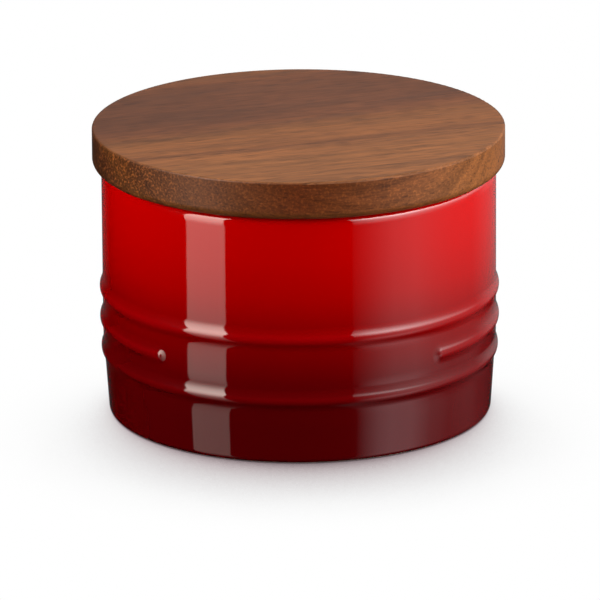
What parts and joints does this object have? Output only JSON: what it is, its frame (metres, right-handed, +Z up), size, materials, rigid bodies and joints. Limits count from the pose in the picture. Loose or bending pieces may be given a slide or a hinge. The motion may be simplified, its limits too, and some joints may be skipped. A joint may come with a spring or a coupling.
{
  "type": "storage jar",
  "caption": "Squat round stoneware storage jar with ribs round its lower wall and a push-in wooden lid held by a soft seal ring.",
  "frame": {"origin": "centre of the foot ring, on the surface that the jar stands on", "axes": "+Z up along the jar's axis, -Y out of the bare front panel where the middle rib stops"},
  "size_m": [0.115, 0.115, 0.0817],
  "materials": {
    "glaze": "glossy red glaze, shading to dark red at the foot",
    "lid_wood": "oiled dark hardwood, satin",
    "seal_silicone": "matt translucent silicone"
  },
  "bodies": {
    "jar": {"stoneware_jar": "glaze"},
    "seal": {"silicone_seal": "seal_silicone"},
    "lid": {"wooden_lid": "lid_wood"}
  },
  "joints": [
    {"name": "lid_lift", "type": "slide", "parent": "jar", "child": "seal", "axis": [0, 0, 1], "range_m": [0, 0.12]},
    {"name": "lid_turn", "type": "hinge", "parent": "seal", "child": "lid", "pos_m": [0, 0, 0.0653], "axis": [0, 0, 1], "continuous": true}
  ]
}
